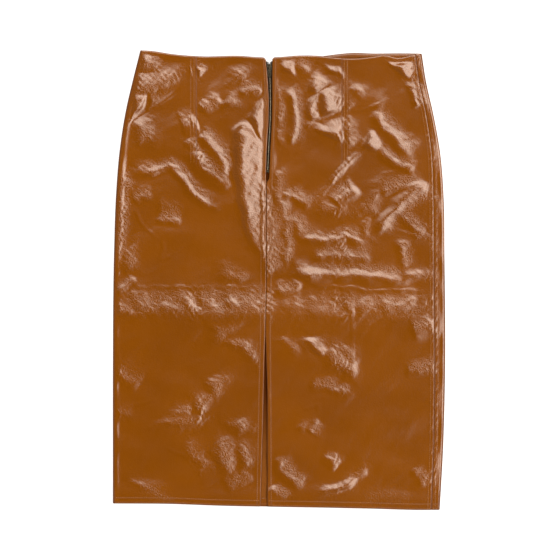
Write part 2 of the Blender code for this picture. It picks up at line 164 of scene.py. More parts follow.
# Flat faces of crumpled leather: steepness, softness of the edges, then the corners. A face rises
# evenly from the edge between its first two corners, which looks toward the light.
FACES = [
    # Below the waist on the left.
    (0.105, 0.5, (-180, 314), (-180, 334), (-206, 342), (-212, 330), (-206, 308)),
    (0.125, 1.0, (-148, 313), (-214, 308), (-216, 276), (-192, 275), (-162, 294)),
    (0.137, 0.4, (-193, 284), (-218, 284), (-224, 238), (-206, 256)),
    (0.129, 0.3, (-178, 278), (-196, 278), (-194, 263)),
    (0.088, 0.7, (-190, 208), (-190, 240), (-218, 238), (-214, 204)),
    (0.205, 0.3, (-105, 322), (-124, 323), (-122, 302)),
    (0.096, 0.6, (-44, 320), (-68, 315), (-78, 294), (-52, 301)),
    (0.114, 0.5, (-57, 260), (-65, 284), (-86, 268), (-82, 255)),
    (0.096, 0.6, (-92, 270), (-100, 281), (-120, 260), (-114, 250)),
    (0.205, 0.3, (-23, 202), (-22, 277), (-47, 243)),
    (0.166, 1.0, (-26, 34), (-23, 204), (-38, 224), (-52, 237), (-69, 224), (-72, 188), (-67, 138),
     (-59, 95), (-45, 56)),
    (0.088, 0.6, (-120, 196), (-122, 214), (-143, 208), (-138, 198)),
    # Below the waist on the right.
    (0.134, 0.4, (25, 331), (4, 331), (3, 312), (22, 307)),
    (0.105, 0.5, (46, 329), (27, 331), (24, 313), (44, 311)),
    (0.114, 0.4, (93, 320), (64, 325), (78, 309), (94, 304)),
    (0.17, 0.6, (75, 293), (58, 310), (49, 301), (45, 284), (56, 280)),
    (0.185, 0.5, (61, 282), (59, 244), (47, 238), (41, 250), (44, 268), (54, 277)),
    (0.165, 0.6, (95, 264), (79, 289), (62, 281), (61, 246), (95, 256)),
    (0.129, 0.3, (52, 232), (44, 240), (39, 227)),
    (0.175, 0.5, (95, 241), (42, 223), (46, 216), (80, 210), (95, 202)),
    (0.114, 0.5, (119, 213), (104, 241), (100, 236), (100, 200), (112, 202)),
    (0.114, 0.5, (117, 263), (104, 271), (102, 254)),
    (0.088, 0.6, (126, 284), (110, 291), (108, 280), (122, 277)),
    (0.096, 0.5, (5, 205), (5, 288), (-5, 286), (-5, 208)),
    (0.205, 0.4, (200, 299), (200, 327), (165, 327), (176, 313), (187, 301)),
    (0.129, 0.6, (158, 240), (150, 262), (141, 250), (143, 238)),
    (0.195, 0.5, (154, 193), (149, 221), (137, 224), (124, 202), (124, 194)),
    (0.15, 0.3, (119, 188), (50, 112), (49, 117), (70, 143), (98, 177), (113, 190)),
    # The middle, above the fold.
    (0.105, 0.5, (-215, 18), (-216, 54), (-230, 44), (-238, 16)),
    (0.088, 0.6, (8, 100), (8, 160), (-8, 160), (-8, 100)),
    (0.096, 0.7, (146, 100), (148, 138), (126, 112), (124, 100)),
    (0.096, 0.7, (130, 100), (62, 114), (60, 101)),
    (0.105, 0.5, (137, 64), (133, 98), (124, 84), (124, 64)),
    (0.114, 0.5, (222, 64), (214, 77), (200, 68), (206, 60)),
    (0.096, 0.6, (226, 2), (222, 14), (190, 12), (188, 2)),
    (0.113, 0.6, (60, 22), (20, 29), (24, 6), (44, -3), (58, 4)),
    (0.08, 0.8, (-42, 8), (-60, 14), (-84, 20), (-88, 6), (-60, -4)),
    # The swell below the fold.
    (0.11, 0.6, (-216, -34), (-246, -34), (-246, -54), (-222, -52)),
    (0.05, 0.5, (-195, -12), (-220, -14), (-224, -43), (-195, -42)),
    (0.065, 0.6, (-150, -32), (-178, -30), (-178, -47), (-150, -47)),
    (0.06, 0.7, (-142, -13), (-158, -13), (-142, -46), (-122, -44)),
    (0.055, 0.6, (-103, -13), (-128, -11), (-114, -44), (-96, -44)),
    (0.055, 0.6, (-64, -16), (-80, -15), (-80, -42), (-62, -43)),
    (0.035, 0.6, (-38, -20), (-58, -22), (-53, -41), (-38, -42)),
    (0.03, 0.6, (30, -22), (0, -27), (2, -43), (30, -40)),
    (0.042, 0.6, (70, -19), (40, -18), (44, -37), (68, -35)),
    (0.046, 0.6, (61, -42), (42, -41), (49, -53), (60, -51)),
    (0.05, 0.6, (112, -22), (94, -22), (101, -53), (113, -53)),
    (0.05, 0.6, (146, -21), (118, -21), (119, -57), (132, -50)),
    (0.07, 0.5, (205, -19), (150, -20), (151, -52), (186, -48), (212, -30)),
    (0.042, 0.5, (232, -18), (212, -18), (214, -32), (232, -34)),
    # Beside the slit and toward the hem, on the left.
    (0.07, 1.0, (-68, -71), (-102, -70), (-98, -88), (-84, -92)),
    (0.105, 0.8, (-34, -106), (-56, -84), (-85, -92), (-36, -124)),
    (0.1, 0.9, (-82, -163), (-77, -142), (-108, -152), (-104, -172), (-94, -178)),
    (0.07, 1.0, (-102, -188), (-98, -168), (-128, -175), (-134, -190), (-116, -202)),
    (0.085, 0.9, (-128, -186), (-152, -189), (-164, -206), (-140, -205)),
    (0.11, 0.8, (-112, -208), (-156, -204), (-178, -217), (-134, -220)),
    (0.09, 0.9, (-36, -222), (-52, -208), (-78, -212), (-62, -234)),
    (0.08, 0.9, (-98, -280), (-134, -246), (-140, -262), (-116, -285)),
    (0.085, 1.0, (-62, -268), (-74, -244), (-88, -238), (-102, -256), (-92, -280), (-72, -292)),
    (0.085, 1.0, (-38, -272), (-42, -252), (-56, -246), (-64, -264), (-52, -283)),
    (0.088, 0.7, (-160, -326), (-205, -300), (-218, -302), (-206, -320), (-170, -334)),
    (0.088, 0.7, (-230, -194), (-228, -206), (-240, -206), (-240, -194)),
    # Beside the slit and toward the hem, on the right.
    (0.16, 0.7, (78, -106), (60, -87), (32, -90), (64, -118)),
    (0.1, 0.9, (114, -120), (78, -96), (64, -113), (90, -140), (114, -147)),
    (0.07, 0.6, (112, -104), (64, -88), (76, -97), (112, -124)),
    (0.11, 0.7, (30, -99), (12, -86), (2, -90), (22, -109)),
    (0.105, 0.5, (48, -98), (34, -87), (28, -94), (44, -107)),
    (0.225, 0.3, (116, -290), (60, -319), (58, -327), (88, -321), (107, -313), (116, -300)),
    (0.114, 0.4, (128, -278), (96, -298), (106, -302), (130, -290)),
    (0.096, 0.5, (46, -212), (34, -210), (26, -222), (38, -228)),
]

# Soft folds: steepness and width of the side that looks toward the light, then the run down the
# middle of that side. It runs down or to the right, with the light on its left.
FOLDS = [
    # Below the waist on the left.
    (0.105, 13, (-120, 258), (-104, 266), (-90, 276)),
    (0.105, 10, (-62, 286), (-45, 290), (-22, 287)),
    (0.195, 13, (-122, 225), (-106, 218), (-95, 205), (-86, 190), (-78, 174), (-72, 156)),
    (0.129, 16, (-124, 202), (-117, 188), (-108, 174), (-94, 162), (-78, 152), (-66, 148)),
    (0.215, 8, (-228, 163), (-210, 167), (-190, 169), (-176, 172), (-165, 175), (-155, 171), (-146, 163),
     (-140, 155), (-135, 146), (-131, 137), (-124, 129), (-115, 124), (-105, 119), (-97, 115), (-86, 118)),
    (0.088, 17, (-150, 236), (-136, 240), (-126, 244)),
    # Below the waist on the right.
    (0.225, 9, (12, 290), (21, 283), (26, 266), (30, 247), (28, 228), (21, 200)),
    (0.161, 14, (144, 256), (158, 239), (175, 222), (190, 205), (205, 186)),
    (0.171, 9, (150, 199), (162, 190), (175, 182), (190, 174), (206, 167)),
    (0.114, 9, (4, 131), (24, 129), (37, 122), (50, 109)),
    (0.114, 16, (76, 120), (92, 131), (114, 146)),
    (0.105, 10, (148, 137), (175, 143), (200, 150), (218, 151)),
    (0.16, 7, (197, 300), (205, 282), (213, 258)),
    # The middle, above the fold.
    (0.11, 9, (-182, 99), (-164, 95), (-144, 90)),
    (0.06, 10, (-184, 112), (-164, 108), (-148, 98)),
    (0.1, 7, (-222, 122), (-205, 129), (-188, 130)),
    (0.17, 3.2, (-21.8, 154), (-22.4, 100), (-22.6, 12)),
    (0.15, 3, (-16.4, 146), (-16.6, 90), (-16.8, -8)),
    (0.07, 18, (-2, 124), (-3, 60), (-2, 2)),
    (0.134, 7, (-1, 132), (7, 113), (13, 95), (14, 75), (15, 50), (15, 26), (22, 18)),
    (0.105, 13, (18, 102), (29, 91), (37, 76), (41, 63)),
    (0.195, 10, (26, 66), (55, 67), (70, 63), (85, 64), (100, 70), (112, 68), (124, 62), (136, 63)),
    (0.096, 14, (46, 37), (75, 42), (110, 41), (144, 36)),
    (0.161, 14, (18, 20), (38, 13), (60, 15), (85, 15), (115, 13), (145, 12), (175, 9), (204, 2)),
    (0.19, 13, (230, 133), (207, 127), (191, 115), (179, 101), (162, 82), (151, 62)),
    (0.114, 7, (176, 103), (192, 92), (206, 82), (222, 71)),
    (0.088, 9, (183, 64), (189, 42), (194, 16)),
    (0.11, 14, (-231, 178), (-235, 120), (-238, 70), (-240, 16)),
    # The fold across the whole skirt, and the swell below it.
    (0.171, 7, (-248, -14), (-237, -10), (-227, -3), (-216, 4)),
    (0.134, 7, (-6, -12), (6, -13), (20, -10), (30, -2)),
    (0.074, 36, (-262, -34), (-200, -34), (-140, -34), (-80, -33), (0, -34), (20, -34)),
    (0.061, 36, (-20, -34), (60, -36), (150, -37), (250, -38)),
    # Toward the hem.
    (0.07, 10, (-84, -309), (-62, -299), (-44, -287)),
    (0.063, 16, (-242, -132), (-224, -143), (-206, -154)),
    (0.077, 7, (44, -153), (80, -159), (114, -167)),
    (0.117, 12, (196, -74), (214, -68), (232, -61)),
    (0.084, 9, (186, -134), (212, -132), (236, -127)),
    (0.161, 7, (62, -212), (55, -221), (47, -232)),
    (0.117, 9, (66, -259), (80, -269), (92, -280)),
    (0.117, 13, (2, -262), (10, -280), (22, -295), (40, -310)),
    (0.125, 9, (-8, -306), (2, -318), (13, -329)),
    (0.05, 8, (120, -329), (148, -322), (175, -323), (200, -331)),
    (0.07, 7, (202, -281), (214, -292), (221, -308)),
]

# Fine creases: height, half width, then the run. Below zero is a furrow.
CREASES = [
    (0.7, 3, (113, 187), (100, 172), (85, 155), (74, 139)),
    (0.5, 3, (166, 276), (150, 263), (130, 256), (104, 251)),
    (-0.5, 3, (56, 281), (76, 293)),
    (0.5, 3, (-218, 106), (-200, 79), (-186, 60)),
    (0.5, 3, (-181, 26), (-163, 37), (-153, 47), (-138, 56)),
    (0.35, 4, (-176, 62), (-172, 46), (-181, 30)),
    (0.8, 5, (28, -2), (60, -7), (100, -12), (150, -15), (200, -17), (232, -16)),
    (0.5, 3, (-228, -10), (-170, -10), (-90, -12), (-24, -10)),
    (0.4, 3, (-232, -194), (-205, -186), (-180, -177)),
    (0.4, 3, (-184, -214), (-160, -217), (-130, -217), (-108, -205)),
    (0.35, 3, (148, 157), (185, 163), (204, 160)),
    (0.35, 3, (196, 70), (176, 76), (158, 74)),
    (0.3, 4, (110, -14), (110, -90), (109, -168)),
    (0.5, 2.5, (-132, 324), (-132, 302)),
    (0.5, 2.5, (-132, 250), (-130, 226)),
    (-0.8, 4, (-221, 237), (-181, 265), (-147, 284)),
    (-0.5, 3, (-48, 246), (-27, 202)),
    (0.35, 3, (-172, -250), (-150, -260), (-132, -264)),
    (0.35, 3, (34, -196), (60, -186), (60, -198)),
    (-0.5, 5, (40, 246), (66, 230), (92, 226)),
]

# How high the left fold stands above the leather beside it: up, height.
LEFT_ROLL = np.array([
    (345, 0.2), (290, 0.4), (240, 0.7), (130, 0.7), (90, 0.5), (40, 0.5), (0, 0.2), (-345, 0.15),
])

# How steep the sides of a face are: crisp ones, and gentle ones.
CRISP_SIDE = 0.5
GENTLE_SIDE = 0.25

SPRING = np.random.default_rng(12)


# ---- Shapes in the flat -------------------------------------------------------------------------
def smooth_table(x, table, column=1):
    """A cubic through a table's points, whose slope at each comes from its two neighbours."""
    xs = table[:, 0]
    ys = table[:, column]
    slopes = np.gradient(ys, xs)
    x = np.clip(x, xs[0], xs[-1])
    i = np.clip(np.searchsorted(xs, x, side="right") - 1, 0, len(xs) - 2)
    step = xs[i + 1] - xs[i]
    t = (x - xs[i]) / step
    rise = ys[i + 1] - ys[i]
    bend_in = slopes[i] * step - rise
    bend_out = slopes[i + 1] * step - rise
    return ys[i] + t * rise + t * (1 - t) * (bend_in * (1 - t) - bend_out * t)


def rising_table(up, table, column):
    """Straight lines between a table's points, for a table that runs from the waist to the hem."""
    return np.interp(up, table[::-1, 0], table[::-1, column])


def ease(t):
    """0 to 1 with level ends: t squared times (3 less 2 t)."""
    t = np.clip(t, 0, 1)
    return t * t * (3 - 2 * t)


def blend(value, target, distance, near, far):
    """The target within the near distance, the value past the far one, and eased between."""
    return target + (value - target) * ease((distance - near) / (far - near))


def bell(distance, width):
    """1 at no distance, dying away past the width: e to the minus square of their ratio."""
    return np.exp(-((distance / width) ** 2))


def hem_row(across):
    """Lowest row of the middle surface: the hem's outer edge, less the roll of its fold."""
    return smooth_table(across, HEM) + EDGE_ROLL


def back_waist(across):
    """The back's waist row: its outer edge, less the roll of its fold, rounded at the zip's notch."""
    away = np.clip(np.maximum(-20 - across, across + 10), 0, 5)
    drop = 5 - np.sqrt(5 ** 2 - (5 - away) ** 2)
    return smooth_table(across, BACK_WAIST) - drop - EDGE_ROLL


def front_waist(across):
    """The front's waist row: its outer edge, less the roll of its fold."""
    return smooth_table(across, FRONT_WAIST) - EDGE_ROLL


def down_from(up, across):
    """Fraction of the way down from the back's waist to the hem."""
    top = back_waist(across)
    return np.clip((top - up) / (top - hem_row(across)), 0, 1)


def waves(across, up, short, long, turn, seed):
    """Ripples of unit steepness: 22 sine waves whose crests run about along turn, by seed."""
    dice = np.random.default_rng(seed)
    count = 22
    along = math.radians(turn)
    s = -across * math.sin(along) + up * math.cos(along)
    t = across * math.cos(along) + up * math.sin(along)
    total = np.zeros_like(across)
    for _ in range(count):
        over = 2 * math.pi / short * dice.uniform(0.6, 1.5)
        by = 2 * math.pi / long * dice.normal(0, 0.8)
        total += np.sin(over * s + by * t + dice.uniform(0, 2 * math.pi)) / math.hypot(over, by)
    return total * math.sqrt(2 / count)


def along_run(across, up, run):
    """Distance from a run of straight lines, above zero on its left, and how far along it: 0 to 1."""
    points = np.array(run, float)
    steps = np.hypot(*(points[1:] - points[:-1]).T)
    starts = np.concatenate([[0], np.cumsum(steps)])
    nearest = np.full(across.shape, 1e9)
    side = np.zeros(across.shape)
    place = np.zeros(across.shape)
    for start, end, length, before in zip(points[:-1], points[1:], steps, starts[:-1]):
        run_x, run_y = (end - start) / length
        x = across - start[0]
        y = up - start[1]
        t = np.clip(x * run_x + y * run_y, 0, length)
        away = np.hypot(x - t * run_x, y - t * run_y)
        closer = away < nearest
        nearest = np.where(closer, away, nearest)
        side = np.where(closer, run_x * y - run_y * x, side)
        place = np.where(closer, (before + t) / starts[-1], place)
    return np.copysign(nearest, side), place


def face(across, up, steep, soft, *corners):
    """The lowest of an even rise from the first edge and of steeper sides inside the other edges,
    softened where they meet: minus the log of the sum of e to the minus each. Returns its height,
    and how crushed it is: most well inside the corners, easing to nothing outside them."""
    points = np.array(corners, float)
    ahead = np.roll(points, -1, axis=0)
    run = (ahead - points) / np.hypot(*(ahead - points).T)[:, None]
    turn = math.copysign(1, np.sum(points[:, 0] * ahead[:, 1] - points[:, 1] * ahead[:, 0]))
    slopes = np.full(len(points), CRISP_SIDE if soft < 0.45 or steep > 0.15 else GENTLE_SIDE)
    slopes[0] = steep
    total = np.full(across.shape, -np.inf)
    within = np.full(across.shape, np.inf)
    for (x, y), (run_x, run_y), slope in zip(points, run, slopes):
        inward = ((up - y) * run_x - (across - x) * run_y) * turn
        total = np.logaddexp(total, -slope * inward / soft)
        within = np.minimum(within, inward)
    crushed = ease((within + 16) / 28) * min(steep / 0.07, 1)
    return np.logaddexp(0, -total) * soft, crushed


def fold(across, up, steep, width, *run):
    """A soft ridge: the side toward the light falls across its width, half on each side of the run,
    by a mix of an even ease and a square, and the side behind it eases down over a third more, both
    dying away toward the ends of the run. Returns its height, and how crushed it is about the run."""
    off, place = along_run(across, up, run)
    fade = ease(np.minimum(place, 1 - place) / 0.2 + 0.1)
    ahead = np.clip(0.5 - off / width, 0, 1)
    lit = 0.3 * ease(ahead) + 0.7 * ahead ** 2
    behind = ease(1 + (off + width / 2) / (1.3 * width))
    crushed = fade * ease(1.2 - np.abs(off) / (0.7 * width + 8)) * min(steep / 0.08, 1)
    return steep * width / 1.5 * fade * np.minimum(lit, behind), crushed


def crease(across, up, height, half, *run):
    """A fine ridge: the square of what is left of one, less the distance over the half width."""
    off, place = along_run(across, up, run)
    fade = ease(np.minimum(place, 1 - place) / 0.25 + 0.1)
    return height * fade * np.clip(1 - np.abs(off) / half, 0, 1) ** 2


def crumpled(across, up):
    """The height of the highest face, with all the folds and creases, at places that stray a little,
    and of small crumples where the leather is crushed. Returns it, and how crushed it is: 0 to 1."""
    x = across + 1.3 * cloud(across, up, 44, 5)
    y = up + 1.3 * cloud(across, up, 40, 6)
    faces = np.zeros_like(across)
    crushed = np.zeros_like(across)
    for row in FACES:
        height, lit = face(x, y, *row)
        faces = np.maximum(faces, height)
        crushed = np.maximum(crushed, lit)
    folds = np.zeros_like(across)
    for row in FOLDS:
        height, lit = fold(x, y, *row)
        folds += height
        crushed = np.maximum(crushed, lit)
    creases = sum(crease(x, y, *row) for row in CREASES)
    crumple = np.abs(waves(across, up, 11, 26, 55, 7))
    crumple += np.abs(waves(across, up, 13, 22, -35, 8))
    return faces + folds + creases + 0.115 * crushed * crumple, crushed


def cloud(across, up, size, seed):
    """Soft unevenness of about unit size, with no direction."""
    return waves(across, up, size, size, 30, seed) * 2 * math.pi / size


def bend_height(across, up):
    """Slow rolling of the whole back, and slight ripples all over it."""
    slow = 0.024 * waves(across, up, 62, 90, 20, 1)
    return slow + 0.012 * waves(across, up, 15, 22, 50, 2)


def outline(down):
    """(left fold, right fold, right side seam) across, by the fraction down."""
    left, right, inset = (smooth_table(down * LENGTH, OUTLINE, k) for k in (1, 2, 3))
    return left, right, right - inset


def middle_edges(up, table=MIDDLE):
    """The table's left column and its right one, at places up."""
    return [rising_table(up, table, k) for k in (1, 2)]


def hem_dips(from_hem):
    """1 along the hem's topstitched rows, dying away beside them."""
    return sum(bell(from_hem + EDGE_ROLL - stitched, STITCH_DIP) for stitched in HEM_ROWS)


def seam_relief(distance, row, lift, dip):
    """Leather beside a seam: lifted over its turnings as far as the topstitching, highest a little
    way from the seam, and pulled down along the stitches."""
    plateau = lift * ease(1 - (distance - row + 1) / 4.5)
    plateau = plateau * (0.75 + 0.25 * bell(distance - 2.6, 2))
    return plateau - dip * bell(distance - row, STITCH_DIP)


def dart_relief(across, up, dart, rows):
    """A dart pressed to one side: leather lifted over its fold, a sharp step at its seam, and two
    stitched rows, all dying away at its tip."""
    toward = math.copysign(1, rows[0])
    off = (across - dart) * toward
    fade = ease((up - DART_TIP + 22) / 40)
    lifted = 0.07 * ease((off + 0.7) / 1.6) * ease((14 - off) / 5)
    groove = -0.08 * bell(off + 0.6, STITCH_DIP)
    pulled = sum(-0.06 * bell(across - dart - row, STITCH_DIP) for row in rows)
    return fade * (lifted + groove + pulled)


def upper_height(across, up):
    """Height of the upper layer's middle surface: rolling and crumples, settling above the layer
    below, calmed at the folds, the zip, the waist and the hem, with the relief of its seams, darts
    and stitches."""
    left, right, seam = outline(down_from(up, across))
    height = REST_MID + bend_height(across, up) + crumpled(across, up)[0]
    settle = 0.35
    height = LOWEST_MID + np.logaddexp(0, (height - LOWEST_MID) / settle) * settle
    from_left = across - left
    height = blend(height, FOLD_MID + 0.3, from_left, 4, 11)
    height = blend(height, FOLD_MID, right - across, 2, 9)
    roll = rising_table(up, LEFT_ROLL, 1)
    height += roll * ease((from_left - 2.5) / 3.5) * ease((14 - from_left) / 8)
    height -= 1.1 * np.clip(1 - from_left / 6.5, 0, 1) ** 2
    height = blend(height, EDGE_MID, back_waist(across) - up, *WAIST_EASE)
    edges = middle_edges(up)
    off_edge = np.maximum(edges[0] - across, across - edges[1])
    from_zip = np.hypot(np.clip(off_edge, 0, None), np.clip(ZIP_END - up, 0, None))
    height = blend(height, EDGE_MID - 0.2, from_zip, 3.5, 12)
    on_left = across < SEAM_ACROSS
    edge = np.where(on_left, *edges)
    row = np.where(on_left, *middle_edges(up, MIDDLE_ROWS))
    height += seam_relief(np.abs(across - edge), np.abs(row - edge), 0.1, 0.04)
    uneven = np.clip(0.6 + 0.5 * cloud(across, up, 7, 9), 0, 1.4)
    height += seam_relief(np.abs(across - seam), SIDE_ROW, 0.32, 0.1) * uneven
    for dart, rows, _ in DARTS:
        height += dart_relief(across, up, dart, rows)
    from_hem = up - hem_row(across)
    return blend(height, HEM_MID, from_hem, *HEM_EASE) - 0.05 * hem_dips(from_hem)


def painted_seam_shade(across, up):
    """How much painted shade darkens the leather along its seams and its stitched rows, standing in for
    the shadow in them: the sum of a bell about each, by the distance off it, its strength and its width."""
    seam = outline(down_from(up, across))[2]
    from_hem = up - hem_row(across) + EDGE_ROLL
    dart_fade = ease((up - DART_TIP + 10) / 20)
    lines = [(across - row, 0.6, 1.0) for row in middle_edges(up, MIDDLE_ROWS)]
    lines += [(np.abs(across - seam) - SIDE_ROW, 0.3, 0.9), (across - seam, 0.5, 0.9)]
    lines += [(from_hem - stitched, 0.5, 1.0) for stitched in HEM_ROWS]
    for dart, rows, _ in DARTS:
        lines.append((across - dart, 0.8 * dart_fade, 0.9))
        lines += [(across - dart - row, 0.35 * dart_fade, 0.9) for row in rows]
    return np.clip(sum(strength * bell(off, width) for off, strength, width in lines), 0, 0.9)


def ground_height(across, up):
    """Height of the lower layer's middle surface: on the ground, with shallow creases dented up."""
    ripples = waves(across, up, 34, 80, 24, 41) * 0.05
    kinks = np.abs(waves(across, up, 46, 70, -32, 42)) * 0.07
    crossing = 0.35 * bell(up + 10, 7)
    return GROUND_MID + np.clip(ripples + kinks + crossing - 0.12, 0, 0.75)


# ---- Meshes -------------------------------------------------------------------------------------
# Cells round a side fold and round the waist's or the hem's, the length of the back's cells and of
# the front's, and how a lip's arc, its straight end and a turning are divided.
FOLD_CELLS = 9
EDGE_CELLS = 5
BACK_CELL = 2.45
FRONT_CELL = 2.7
LIP_STEPS = np.array([0.25, 0.5, 0.75, 1.0])
LIP_END_STEPS = np.array([0.5, 0.94, 1.0])
TURNING_STEPS = np.array([0.5, 0.97, 1.0])


def put_in_scene(name, points, faces, looks, body, smooth=True):
    """A mesh object from arrays of points, in millimetres, and faces. It is at the origin, and rides
    a body if it has one."""
    mesh = bpy.data.meshes.new(name)
    mesh.from_pydata((points.reshape(-1, 3) * MM).tolist(), [], [row.tolist() for row in faces])
    for look in looks:
        mesh.materials.append(look)
    if smooth:
        mesh.shade_smooth()
    obj = bpy.data.objects.new(name, mesh)
    bpy.context.scene.collection.objects.link(obj)
    if body:
        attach(obj, body)
    return obj


def thicken(obj, thickness):
    """Gives a sheet its thickness, half on each side, by a modifier."""
    thick = obj.modifiers.new("thickness", "SOLIDIFY")
    thick.thickness = thickness * MM
    thick.offset = 0
    return thick


def rings(along, wide, high, first_angle, count):
    """Points of rings about X, each with a place along it, two half sizes and as many points."""
    angle = first_angle + np.arange(count) * 2 * math.pi / count
    return np.stack([
        np.broadcast_to(along[:, None], (len(along), count)),
        wide[:, None] * np.cos(angle),
        high[:, None] * np.sin(angle),
    ], axis=-1).reshape(-1, 3)


def ring_faces(total, count):
    """Four corners of every cell between rings of points, ring by ring."""
    k = np.arange(count)
    after = (k + 1) % count
    first = count * np.arange(total - 1)[:, None]
    corners = [first + k, first + after, first + count + after, first + count + k]
    return np.stack(corners, axis=-1).reshape(-1, 4)


def grid_faces(rows, columns):
    """Four corners of every cell of a grid of points, counted row by row."""
    corner = np.arange(rows * columns).reshape(rows, columns)[:-1, :-1]
    return np.stack([corner, corner + columns, corner + columns + 1, corner + 1], axis=-1).reshape(-1, 4)


def between(knots, cells):
    """Columns from knot to knot, each stretch in its own number of equal cells. A knot is a place
    across for every row."""
    runs = []
    for start, end, count in zip(knots[:-1], knots[1:], cells):
        part = np.arange(count) / count
        runs.append(start[:, None] + (end - start)[:, None] * part)
    runs.append(knots[-1][:, None])
    return np.concatenate(runs, axis=1)


def rows_down(cell):
    """Fractions down a panel: rows 1 apart over its first 6 and its last 14, and cells of about the
    size between."""
    fine_top = np.arange(0, 7, 1.0)
    fine_end = LENGTH - np.arange(14, -1, -1.0)
    count = round((LENGTH - 21) / cell)
    main = np.linspace(7, LENGTH - 15, count)
    return np.concatenate([fine_top, main, fine_end]) / LENGTH


def up_at(across, down, waist=back_waist):
    """Up at places across, by the fraction down from a waist's row to the hem's."""
    top = waist(across)
    return top + down * (hem_row(across) - top)


def flat_run(knots, cells, down, waist, layer, inward):
    """A run of columns over a flat layer: across, up, height, and the direction toward the inside of
    the skirt, for which inward is 1 for up and -1 for down."""
    across = between(knots, cells)
    up = up_at(across, down[:, None], waist)
    facing = np.broadcast_to((0.0, 0.0, inward), across.shape + (3,))
    return across, up, layer(across, up), facing


def lip(run, column, outward, inward, radius, angle, length):
    """Columns that turn the edge of a run down: an arc of the radius through the angle, then a
    straight stretch of the length."""
    across, up, height = (array[:, column, None] for array in run[:3])
    turn = angle[:, None] * LIP_STEPS
    out = radius[:, None] * np.sin(turn)
    drop = radius[:, None] * (1 - np.cos(turn))
    last = angle[:, None]
    straight = length[:, None] * LIP_END_STEPS
    out = np.concatenate([out, out[:, -1:] + straight * np.cos(last)], axis=1)
    drop = np.concatenate([drop, drop[:, -1:] + straight * np.sin(last)], axis=1)
    turn = np.concatenate([turn, last, last, last], axis=1)
    facing = np.stack([-outward * np.sin(turn), np.zeros_like(turn), inward * np.cos(turn)], axis=-1)
    return across + outward * out, np.broadcast_to(up, out.shape), height + inward * drop, facing


def seam_lip(run, column, outward, inward):
    """An edge turned down a quarter at a seam."""
    sizes = (SEAM_LIP, math.pi / 2, SEAM_LIP / 3)
    return lip(run, column, outward, inward, *(np.full(len(run[0]), size) for size in sizes))


def backward(run):
    """A run with its columns in the other order."""
    return tuple(array[:, ::-1] for array in run)


def side_turn(fold, up, side, mid):
    """Columns round a side fold: a half circle from the upper layer to the one on the ground."""
    radius = (mid - GROUND_MID) / 2
    angle = math.pi * np.arange(1, FOLD_CELLS) / FOLD_CELLS
    centre = fold - side * (LEATHER / 2 + radius)
    across = centre[:, None] + side * radius[:, None] * np.sin(angle)
    height = GROUND_MID + radius[:, None] * (1 + np.cos(angle))
    facing = np.stack([-side * np.sin(angle), np.zeros_like(angle), -np.cos(angle)], axis=-1)
    facing = np.broadcast_to(facing, across.shape + (3,))
    return across, np.broadcast_to(up[:, None], across.shape), height, facing


def turned(points, facing, row, upward, turning):
    """Rows past the waist or the hem: half a circle toward the inside, then a turning along it."""
    angle = math.pi * np.arange(1, EDGE_CELLS + 1)[:, None, None] / EDGE_CELLS
    along = np.array([0, upward, 0])
    roll = points[row] + PITCH / 2 * (facing[row] * (1 - np.cos(angle)) + along * np.sin(angle))
    back = points[row] + PITCH * facing[row]
    inside = back - along * turning * TURNING_STEPS[:, None, None]
    return np.concatenate([roll, inside])


def rolled_edges(points, facing):
    """How dull the finish is and how much painted shade darkens the leather where it rolls over an edge:
    by how far it turns from level, and its neighbours with it, most at the slit, less down the closed
    middle, and hardly at all round the right fold at the hips. The rows of the waist's and the hem's
    turnings come before and after."""
    up = points[..., 1]
    by_middle = ease((30 - np.abs(points[..., 0] - SEAM_ACROSS)) / 10)
    closed = by_middle * ease((up + 90) / 30)
    slit = by_middle * ease((-90 - up) / 30)
    turn = ease((1 - np.abs(facing[..., 2])) / (0.05 + 0.1 * closed - 0.04 * slit))
    turn[:, 1:-1] = np.maximum(turn[:, 1:-1], np.maximum(turn[:, :-2], turn[:, 2:]))
    hip = ease((300 - up) / 30) * ease((up - 10) / 40)
    hip = hip * (points[..., 0] > 200)
    turn = (0.8 + 0.15 * slit) * turn * (1 - 0.8 * hip) * (1 - 0.4 * closed)
    # The rolled rows of the waist and the hem are dulled and darkened by painted shade, and their turnings
    # inside a little.
    roll = np.full((EDGE_CELLS, turn.shape[1]), 0.6)
    inside = np.full((len(TURNING_STEPS), turn.shape[1]), 0.1)
    return np.concatenate([inside, roll, turn, roll, inside])


